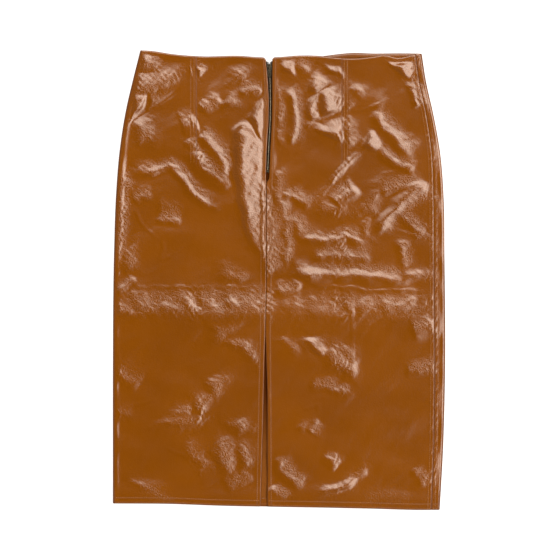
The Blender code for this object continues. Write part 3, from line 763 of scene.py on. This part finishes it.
def panel(name, parts, look):
    """A panel from its runs of columns, with its waist and its hem turned in, thickened evenly. Its points
    hold how crushed the leather is, how dull its finish is along with how much painted shade darkens it at
    seams and edges, and how much painted shade darkens its inside where little light reaches."""
    across, up, height, facing = (np.concatenate([part[k] for part in parts], axis=1) for k in range(4))
    points = np.stack([across, up, height], axis=-1)
    waist = turned(points, facing, 0, 1, WAIST_TURNING)[::-1]
    hem = turned(points, facing, -1, -1, HEM_TURNING)
    rolled = rolled_edges(points, facing)
    points = np.concatenate([waist, points, hem])
    faces = grid_faces(*points.shape[:2])
    down = points[1:, :-1] - points[:-1, :-1]
    over = points[:-1, 1:] - points[:-1, :-1]
    outward = np.cross(down, over)[len(waist):-len(hem)]
    if np.sum(outward * facing[:len(outward), :-1]) > 0:
        faces = faces[:, ::-1]
    obj = put_in_scene(name, points, faces, look, "skirt")
    across, up, height = np.moveaxis(points, -1, 0)
    on_top = ease((height - GROUND_MID - 1) / 1)
    # Painted shade: darker colour along the seams, the stitched rows and the rolled edges, standing in for
    # the shadow there, and a duller finish.
    painted_shade_and_dull = np.maximum(painted_seam_shade(across, up) * on_top, rolled)
    # Painted shade on the front's inside under the slit, darkest near the slit's top, where little light
    # reaches.
    deep = 0.95 - 0.6 * ease((-150 - up) / 150)
    unlit = np.maximum(painted_shade_and_dull, deep * (1 - on_top) * bell(across - SEAM_ACROSS, 12))
    for kind, values in (("crushed", crumpled(across, up)[1]), ("painted_shade_and_dull", painted_shade_and_dull), ("unlit", unlit)):
        layer = obj.data.attributes.new(kind, "FLOAT", "POINT")
        layer.data.foreach_set("value", values.ravel())
    thicken(obj, LEATHER).material_offset = 1
    return obj


def middle_lip(run, outward):
    """The edge at the zip, the seam and the slit: turned down a quarter, and right under at the slit,
    where it runs on inside as the slit's turning."""
    up = run[1][:, 0]
    slit = ease((-76 - up) / 8) * ease((up + 336) / 16)
    radius = np.where(up > 150, 0.4, 0.3) + 0.3 * slit
    angle = math.pi / 2 * (1 + slit)
    length = 0.3 + (SLIT_TURNING - 0.3) * slit
    return lip(run, 0, outward, -1, radius, angle, length)


def back_panel(name, side, look):
    """A back panel: the middle edge, its dart, and out to the side seam on the right, or round the
    left fold to the seam underneath."""
    k = 0 if side < 0 else 1
    down = rows_down(BACK_CELL)
    edge = middle_edges(up_at(SEAM_ACROSS, down))[k]
    left, _, seam = outline(down)
    dart = np.full_like(down, DARTS[k][0])
    mid = fold_mid(down)
    far = left + LEATHER / 2 + (mid - GROUND_MID) / 2 if side < 0 else seam - SEAM_GAP / 2 - SEAM_LIP
    knots = [
        edge + side * 0.85,
        edge + side * 11,
        dart - side * 12,
        dart + side * 12,
        far - side * 12,
        far,
    ]
    cells = [13, (32, 30)[k], 26, (38, 36)[k], 12]
    main = flat_run(knots, cells, down, back_waist, upper_height, -1)
    if side < 0:
        main[2][:, -1] = mid
    inner = backward(middle_lip(main, -side))
    if side > 0:
        return panel(name, (inner, main, seam_lip(main, -1, 1, -1)), look)
    fold = side_turn(left, main[1][:, -1], -1, mid)
    seam_under = left + LEFT_SEAM_INSET - SEAM_GAP / 2 - SEAM_LIP
    knots = [far, seam_under - 9, seam_under]
    below = flat_run(knots, [4, 9], down, back_waist, under_height, 1)
    return panel(name, (inner, main, fold, below, seam_lip(below, -1, 1, 1)), look)


def fold_mid(down):
    """Height of the upper layer where a side fold begins, lifted at the waist and the hem."""
    mid = blend(FOLD_MID - 0.3, HEM_MID, (1 - down) * LENGTH, *HEM_EASE)
    return blend(mid, EDGE_MID - 0.3, down * LENGTH, *WAIST_EASE)


def under_height(across, up):
    """The lower layer, with the relief of the left side seam's topstitching pressed into it."""
    from_seam = np.abs(across - outline(down_from(up, across))[0] - LEFT_SEAM_INSET)
    height = blend(ground_height(across, up), GROUND_MID, from_seam, 8, 16)
    height += 0.25 * bell(from_seam - SIDE_ROW, STITCH_DIP)
    from_hem = up - hem_row(across)
    height = blend(height, GROUND_MID, from_hem, 10, 24) + 0.2 * hem_dips(from_hem)
    return blend(height, GROUND_MID, front_waist(across) - up, *WAIST_EASE)


def front_panel(name, look):
    """The front panel: from the seam under the left fold, over the ground, round the right fold and
    up to the side seam on top."""
    down = rows_down(FRONT_CELL)
    left, right, seam = outline(down)
    mid = fold_mid(down)
    start = left + LEFT_SEAM_INSET + SEAM_GAP / 2 + SEAM_LIP
    centre = right - LEATHER / 2 - (mid - GROUND_MID) / 2
    ground = flat_run([start, start + 9, centre], [9, 120], down, front_waist, under_height, 1)
    ground[2][:, -1] = GROUND_MID
    fold = side_turn(right, ground[1][:, -1], 1, mid)
    knots = [centre, seam + SEAM_GAP / 2 + SEAM_LIP]
    flange = flat_run(knots, [12], down, front_waist, upper_height, -1)
    flange[2][:, 0] = mid
    first = backward(seam_lip(ground, 0, -1, 1))
    last = seam_lip(flange, -1, -1, -1)
    return panel(name, (first, ground, backward(fold), flange, last), look)


# ---- Thread -------------------------------------------------------------------------------------
# A stitch's pitch, how far each way its direction is read from its row, its half sizes along, across
# and up, and how much its direction strays.
STITCH_PITCH = 3.2
STITCH_REACH = 1.2
STITCH_SIZE = np.array([1.0, 0.38, 0.3])
STITCH_STRAY = 0.03


def stitch_form():
    """One stitch along X: rings of six points whose radius swells and closes at both ends."""
    size = np.array([0.75, 1.0, 1.0, 0.75])
    ring = rings(np.array([-0.8, -0.3, 0.3, 0.8]), size, size, 0, 6)
    points = np.concatenate([ring, [(-1, 0, -0.4), (1, 0, -0.4)]])
    k = np.arange(6)
    after = (k + 1) % 6
    first = np.stack([np.full(6, 24), k, after], axis=-1)
    last = np.stack([np.full(6, 25), 18 + after, 18 + k], axis=-1)
    return points * STITCH_SIZE, ring_faces(4, 6)[:, ::-1], np.concatenate([first, last])[:, ::-1]


def stitches(name, rows, look):
    """Stitches in rows: one every pitch along each row's path, turned to its run. A row is (points
    on the surface, 1 for its upper side or -1 for its lower side)."""
    form, quads, ends = stitch_form()
    made = []
    for path, side in rows:
        steps = np.linalg.norm(np.diff(path, axis=0), axis=1)
        length = np.concatenate([[0], np.cumsum(steps)])
        count = int(length[-1] / STITCH_PITCH)
        centre = (np.arange(count) + 0.5) * length[-1] / count
        ahead, behind = (
            np.stack([np.interp(centre + off, length, path[:, k]) for k in range(3)], axis=-1)
            for off in (STITCH_REACH, -STITCH_REACH)
        )
        run = ahead - behind
        run /= np.linalg.norm(run, axis=1)[:, None]
        run[:, :2] += SPRING.normal(0, STITCH_STRAY, (count, 2))
        over = np.cross(np.array([0, 0, 1.0]), run)
        over /= np.linalg.norm(over, axis=1)[:, None]
        frames = np.stack([run, over, np.cross(run, over) * side], axis=1)
        made.append(((ahead + behind)[:, None] / 2 + form @ frames).reshape(-1, 3))
    points = np.concatenate(made)
    base = np.arange(0, len(points), len(form))[:, None, None]
    faces = list((base + quads).reshape(-1, 4)) + list((base + ends).reshape(-1, 3))
    obj = put_in_scene(name, points, faces, (look,), "skirt")
    return obj


def on_top(across, up):
    """A row on the outer side of the upper layer, its stitches sunk a little into it."""
    return np.stack([across, up, upper_height(across, up) + LEATHER / 2 - 0.04], axis=-1), 1


def underneath(across, up):
    """A row on the outer side of the lower layer, its stitches sunk into it above the ground."""
    return np.stack([across, up, under_height(across, up) - LEATHER / 2 + 0.22], axis=-1), -1


def run_up(top, end):
    """Places up from the top to the end, a millimetre and a half apart."""
    return np.arange(top, end, -1.5)


def thread_rows():
    """Every topstitched row of the left panel, of the right panel and of the front: beside the
    middle, the darts and the side seams, and round the hem."""
    left_rows, right_rows, front_rows = [], [], []
    for k, rows in enumerate((left_rows, right_rows)):
        up = run_up(*MIDDLE_ROW_ENDS)
        rows.append(on_top(middle_edges(up, MIDDLE_ROWS)[k], up))
        dart, dart_rows, top = DARTS[k]
        up = run_up(top, DART_TIP - 1)
        rows += [on_top(np.full_like(up, dart + row), up) for row in dart_rows]
    down = np.linspace(0.004, 0.994, 460)
    left, _, seam = outline(down)
    for place, across, rows in (
        (on_top, seam - SIDE_ROW, right_rows),
        (on_top, seam + SIDE_ROW, front_rows),
        (underneath, left + LEFT_SEAM_INSET - SIDE_ROW, left_rows),
        (underneath, left + LEFT_SEAM_INSET + SIDE_ROW, front_rows),
    ):
        rows.append(place(across, up_at(across, down)))
    for stitched in HEM_ROWS:
        lift = stitched - EDGE_ROLL
        edges = middle_edges(hem_row(0) + lift)
        left, right, seam = (side[0] for side in outline(np.array([1 - stitched / LENGTH])))
        for place, start, stop, count, rows in (
            (on_top, edges[0] - 2, left + 4, 200, left_rows),
            (on_top, edges[1] + 2, seam - 1.5, 200, right_rows),
            (on_top, seam + 1.5, right - 3, 200, front_rows),
            (underneath, left + 4, left + LEFT_SEAM_INSET - 1.5, 300, left_rows),
            (underneath, left + LEFT_SEAM_INSET + 1.5, right - 4, 300, front_rows),
        ):
            across = np.linspace(start, stop, count)
            rows.append(place(across, hem_row(across) + lift))
    return left_rows, right_rows, front_rows


# ---- Zip ----------------------------------------------------------------------------------------
# The chain's ends, the heights of its middle and of the tapes', and the teeth of each row.
CHAIN_TOP = 314.7
CHAIN_BOTTOM = 165.2
CHAIN_MID = 3.4
TAPE_MID = 3.25
TEETH = 73


def chain_across(up):
    """The zip's chain runs midway between the edges of its opening."""
    return sum(middle_edges(up)) / 2


def zip_teeth(name, looks):
    """Two rows of teeth, one between the other's. Each is a rounded bar on its tape's edge: five
    rings of eight points, pinched at the waist, swelling at the head, which is polished, and small
    at the tip. A fifth of the way out from their circle to the octagon round it makes them plump."""
    reach = np.array([2.0, 1.3, 0.6, -0.5, -0.75])
    plump = 0.8 + 0.2 / math.cos(math.pi / 8)
    half_up = np.array([0.45, 0.5, 0.6, 0.6, 0.4]) * plump
    half_high = np.array([1.05, 1.1, 1.15, 0.92, 0.6]) * plump
    tooth = rings(reach, half_up, half_high, math.pi / 8, 8)
    quads = ring_faces(5, 8)
    caps = np.array([range(7, -1, -1), range(32, 40)])
    pitch = (CHAIN_TOP - CHAIN_BOTTOM) / (TEETH + 0.5)
    points, faces = [], []
    for side in (-1, 1):
        up = CHAIN_BOTTOM + pitch * (np.arange(TEETH) + 0.75 + 0.25 * side)
        place = np.stack([chain_across(up), up, np.full_like(up, CHAIN_MID)], axis=-1)
        first = (len(points) * TEETH + np.arange(TEETH))[:, None, None] * len(tooth)
        points.append(place[:, None] + tooth * np.array([side, 1, 1]))
        for corners in (quads, caps):
            faces += list((first + corners[:, ::side]).reshape(-1, corners.shape[1]))
    obj = put_in_scene(name, np.stack(points), faces, looks, "skirt", smooth=False)
    head = np.concatenate([np.tile(np.arange(32) // 8 == 2, TEETH), np.zeros(2 * TEETH, bool)])
    obj.data.polygons.foreach_set("material_index", np.tile(head, 2).astype(np.int32))
    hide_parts("zip_chain")


def zip_tape(name, side, look):
    """A woven tape: a grid that begins beside the teeth with a corded edge, half of an ellipse in
    height, and lies flat beyond it."""
    up = np.linspace(328, ZIP_END + 0.5, 176)
    off = np.array([0, 0.3, 0.6, 0.9, 1.3, 1.8, 2.6, 4, 5.5, 7, 8.5, 10, 11])
    across = chain_across(up)[:, None] + side * (2.5 + off)
    high = TAPE_MID + 0.22 * np.sqrt(np.clip(1 - ((off - 0.6) / 0.6) ** 2, 0, 1))
    points = np.stack(np.broadcast_arrays(across, up[:, None], high), axis=-1)
    obj = put_in_scene(name, points, grid_faces(*across.shape), (look,), "skirt")
    thicken(obj, 0.45)
    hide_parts("zip_tape_left" if side < 0 else "zip_tape_right")
    return obj


# ---- Materials ----------------------------------------------------------------------------------
def arithmetic(operation, swapped=False):
    """A method of Value: a Math node of itself and another value, which comes first if swapped."""
    def joined(self, other):
        first, second = (other, self) if swapped else (self, other)
        return self.look.node("ShaderNodeMath", {"operation": operation}, {0: first, 1: second})[0]
    return joined


class Value:
    """A node's output, with arithmetic that adds Math nodes."""

    def __init__(self, look, socket):
        self.look = look
        self.socket = socket

    __add__ = __radd__ = arithmetic("ADD")
    __mul__ = __rmul__ = arithmetic("MULTIPLY")
    __sub__ = arithmetic("SUBTRACT")
    __rsub__ = arithmetic("SUBTRACT", swapped=True)
    __pow__ = arithmetic("POWER")

    def between(self, low, high):
        """0 below low and 1 above high, eased between."""
        ranged = {"interpolation_type": "SMOOTHSTEP"}
        return self.look.node("ShaderNodeMapRange", ranged, {0: self, 1: low, 2: high})[0]


class Look:
    """A material or a world, and the nodes in it."""

    def __init__(self, owner):
        self.owner = owner
        owner.use_nodes = True
        self.tree = owner.node_tree
        self.tree.nodes.clear()

    def node(self, kind, settings, sockets):
        """A node of a kind, with its settings and the values or links of its sockets."""
        made = self.tree.nodes.new(kind)
        for name, value in settings.items():
            setattr(made, name, value)
        for key, value in sockets.items():
            socket = made.inputs[key]
            if isinstance(value, Value):
                self.tree.links.new(value.socket, socket)
            else:
                socket.default_value = value
        return [Value(self, output) for output in made.outputs]

    def place(self):
        """Places on the object, for its textures."""
        return self.node("ShaderNodeTexCoord", {}, {})[3]

    def attribute(self, name):
        """What the mesh's points hold under the name."""
        return self.node("ShaderNodeAttribute", {"attribute_name": name}, {})[2]

    def noise(self, place, scale, detail=2.0, roughness=0.5, distortion=0.0):
        """Cloudy noise about 0.5, its scale in clouds to the metre."""
        sockets = {"Vector": place, "Scale": scale, "Detail": detail}
        sockets |= {"Roughness": roughness, "Distortion": distortion}
        return self.node("ShaderNodeTexNoise", {}, sockets)[0]

    def mix(self, factor, first, second):
        """Two colours mixed by a factor."""
        sockets = {0: factor, 6: colour(first), 7: colour(second)}
        return self.node("ShaderNodeMix", {"data_type": "RGBA"}, sockets)[2]

    def bump(self, height, distance):
        """The surface's direction, bent by a height of up to the distance in metres."""
        sockets = {"Height": height, "Distance": distance, "Strength": 1.0}
        return self.node("ShaderNodeBump", {}, sockets)[0]

    def surface(self, sockets):
        """The Principled surface, joined to the output."""
        shader = self.node("ShaderNodeBsdfPrincipled", {}, sockets)[0]
        self.node("ShaderNodeOutputMaterial", {}, {"Surface": shader})
        return self.owner


def colour(value):
    """A colour with its alpha, or a link as it is."""
    return value if isinstance(value, Value) else (*value, 1)


def glossy_leather(name):
    """Tan leather under a clear glossy finish: a fine grain, pebbles and small crinkles that are deeper
    where the leather is crushed, slow changes of tone, and a finish a little duller in some places. Along
    its seams and over its edges it is duller, and darker by a painted shade, both read from one attribute
    of its points."""
    look = Look(bpy.data.materials.new(name))
    place = look.place()
    crushed = look.attribute("crushed")
    painted_shade_and_dull = look.attribute("painted_shade_and_dull")
    tone = look.noise(place, 9.0, 3.0)
    cloud = look.noise(place, 55.0, 3.0)
    grain = look.noise(place, 1400.0, 2.0, 0.6)
    crinkle = look.noise(place, 230.0, 1.5, 0.5, 0.4)
    pebble = look.node("ShaderNodeTexVoronoi", {"feature": "F1"}, {"Vector": place, "Scale": 480.0})[0]
    base = look.mix(tone.between(0.3, 0.7), (0.138, 0.0415, 0.0006), (0.16, 0.049, 0.0008))
    base = look.mix(grain.between(0.42, 0.62) * 0.25, base, (0.115, 0.034, 0.001))
    # Painted shade: the colour darkens along seams and over rolled edges.
    base = look.mix(painted_shade_and_dull, base, (0.1, 0.028, 0.001))
    relief = crinkle * (0.02 + 0.16 * crushed) + grain * 0.02
    relief = relief + pebble * (0.1 + 0.12 * crushed + 0.34 * crushed ** 4)
    return look.surface({
        "Base Color": base,
        "Roughness": 0.13 + 0.08 * cloud + 0.5 * painted_shade_and_dull,
        "Specular IOR Level": 0.22,
        "Coat Weight": (0.75 + 0.25 * cloud) * (1 - 0.9 * painted_shade_and_dull),
        "Coat Roughness": 0.07,
        "Coat IOR": 1.5,
        "Normal": look.bump(relief, 0.001),
    })


def leather_inside(name):
    """The back of the leather: a dry brown nap, darker by painted shade where little light reaches it, by
    "unlit".
    """
    look = Look(bpy.data.materials.new(name))
    place = look.place()
    unlit = look.attribute("unlit")
    nap = look.noise(place, 1200.0, 3.0, 0.6)
    base = look.mix(nap.between(0.3, 0.7), (0.17, 0.058, 0.009), (0.23, 0.085, 0.016))
    return look.surface({
        # Painted shade: the nap darkens toward near black where little light reaches it.
        "Base Color": look.mix(unlit, base, (0.03, 0.005, 0.0003)),
        "Roughness": 0.9,
        "Specular IOR Level": 0.02,
        "Normal": look.bump(nap, 0.0002),
    })


def spun_thread(name):
    """Waxed tan thread: fine plies that change its tone and its surface."""
    look = Look(bpy.data.materials.new(name))
    place = look.place()
    ply = look.noise(place, 2600.0, 1.0)
    return look.surface({
        "Base Color": look.mix(ply.between(0.35, 0.65), (0.2, 0.072, 0.006), (0.36, 0.15, 0.02)),
        "Roughness": 0.55,
        "Normal": look.bump(ply, 0.00008),
    })


def zip_metal(name, dark, light):
    """Antique metal, worn brighter in places."""
    look = Look(bpy.data.materials.new(name))
    place = look.place()
    wear = look.noise(place, 900.0, 3.0, 0.6)
    return look.surface({
        "Base Color": look.mix(wear.between(0.45, 0.75), dark, light),
        "Metallic": 1.0,
        "Roughness": 0.14 + 0.2 * wear,
        "Normal": look.bump(wear, 0.00006),
    })


def woven_tape(name):
    """Black-brown zip tape: fine ribs along and across, with a dry finish."""
    look = Look(bpy.data.materials.new(name))
    place = look.place()
    sockets = {"Vector": place, "Scale": 520.0, "Distortion": 0.3}
    along, over = (
        look.node("ShaderNodeTexWave", {"wave_type": "BANDS", "bands_direction": direction}, sockets)[1]
        for direction in ("X", "Y")
    )
    weave = along * over
    fuzz = look.noise(place, 3000.0, 1.0)
    return look.surface({
        "Base Color": look.mix(weave, (0.006, 0.005, 0.004), (0.022, 0.017, 0.012)),
        "Roughness": 0.75 + 0.2 * fuzz,
        "Normal": look.bump(weave * 0.8 + fuzz * 0.2, 0.00012),
    })


def white_floor(name):
    """A plain white floor, most of whose brightness is its own, so that shadows on it stay faint."""
    look = Look(bpy.data.materials.new(name))
    return look.surface({
        "Base Color": (0.3, 0.3, 0.3, 1),
        "Roughness": 0.9,
        "Emission Color": (1, 1, 1, 1),
        "Emission Strength": 0.85,
    })


def studio_world(name):
    """Soft warm light. A ring of panels overhead brightens from 6.5 to 15 degrees off straight above,
    and again from 12 to 22, fades from 35 to 50, and is lit on the right and toward the waist. A pale
    grey fills the rest: a little stronger near the floor, fading from 40 degrees off to 11."""
    look = Look(bpy.data.worlds.new(name))
    direction = look.node("ShaderNodeTexCoord", {}, {})[0]
    x, y, z = look.node("ShaderNodeSeparateXYZ", {}, {0: direction})
    sine = {angle: math.sin(math.radians(angle)) for angle in (6.5, 12, 15, 22)}
    cosine = {angle: math.cos(math.radians(angle)) for angle in (11, 35, 40, 50)}
    from_top = (1 - z * z + 0.0001) ** 0.5
    bright = from_top.between(sine[6.5], sine[15]) * 3.6 + from_top.between(sine[12], sine[22]) * 5.4
    ring = bright * z.between(cosine[50], cosine[35])
    side = (x * 0.8 + y * 0.6) * (1 - z * z + 0.01) ** -0.5
    bank = side.between(-0.5, 0.6)
    grey = 0.2 + 0.12 * (1 - z.between(0.0, 0.4))
    zenith = z.between(cosine[40], cosine[11])
    strength = ring * bank + grey * (1 - zenith * 0.97)
    shader = look.node("ShaderNodeBackground", {}, {"Color": (1, 0.86, 0.74, 1), "Strength": strength})[0]
    look.node("ShaderNodeOutputWorld", {}, {"Surface": shader})
    return look.owner


# ---- Scene --------------------------------------------------------------------------------------
def build_camera():
    """Straight above the skirt, taking in a square of the view's size at the leather's height."""
    above, view = 5.0, 0.84
    camera = bpy.data.objects.new("camera", bpy.data.cameras.new("camera"))
    bpy.context.scene.collection.objects.link(camera)
    camera.data.sensor_width = 36
    camera.data.lens = camera.data.sensor_width * above / view
    camera.location = (1.5 * MM, 0.0, above + 4 * MM)
    camera.data.clip_end = 40
    bpy.context.scene.camera = camera


def build_stage():
    """The floor, nine metres each way and just under the skirt, the world's light and a plain view of
    colours."""
    reach = 9000
    corners = np.array([(-1, -1), (1, -1), (1, 1), (-1, 1)]) * reach
    corners = np.column_stack([corners, np.full(4, -0.2)])
    floor = put_in_scene("floor", corners, np.arange(4)[None], (white_floor("white_floor"),), None)
    floor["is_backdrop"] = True
    bpy.context.scene.world = studio_world("studio")
    bpy.context.scene.view_settings.view_transform = "Standard"


def repaint(node, look):
    """Gives a CAD node a finished material."""
    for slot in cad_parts[node].material_slots:
        slot.material = look


def main():
    """Builds the skirt's looks."""
    build_camera()
    build_stage()
    leather = (glossy_leather("glossy_tan_leather"), leather_inside("tan_leather_inside"))
    thread = spun_thread("tan_thread")
    metal = zip_metal("antique_zip_metal", (0.03, 0.027, 0.02), (0.22, 0.2, 0.15))
    polished = zip_metal("polished_zip_metal", (0.12, 0.108, 0.084), (0.3, 0.275, 0.22))
    blackened = zip_metal("blackened_zip_metal", (0.02, 0.018, 0.014), (0.11, 0.1, 0.075))
    tape = woven_tape("zip_tape_weave")
    left = back_panel("leather_back_left", -1, leather)
    right = back_panel("leather_back_right", 1, leather)
    front = front_panel("leather_front", leather)
    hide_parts("back_left_panel")
    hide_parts("back_right_panel")
    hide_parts("front_panel")
    names = ("stitches_back_left", "stitches_back_right", "stitches_front")
    left_thread, right_thread, front_thread = (
        stitches(name, rows, thread) for name, rows in zip(names, thread_rows())
    )
    zip_teeth("zip_teeth", (blackened, polished))
    tapes = [zip_tape(name, side, tape) for name, side in (("tape_left", -1), ("tape_right", 1))]
    for node in ("zip_slider", "pull_tab", "zip_bottom_stop", "zip_top_stop_left", "zip_top_stop_right"):
        repaint(node, metal)


main()
[[list(corner) for corner in box] for box in (CAD_BOX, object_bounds())]
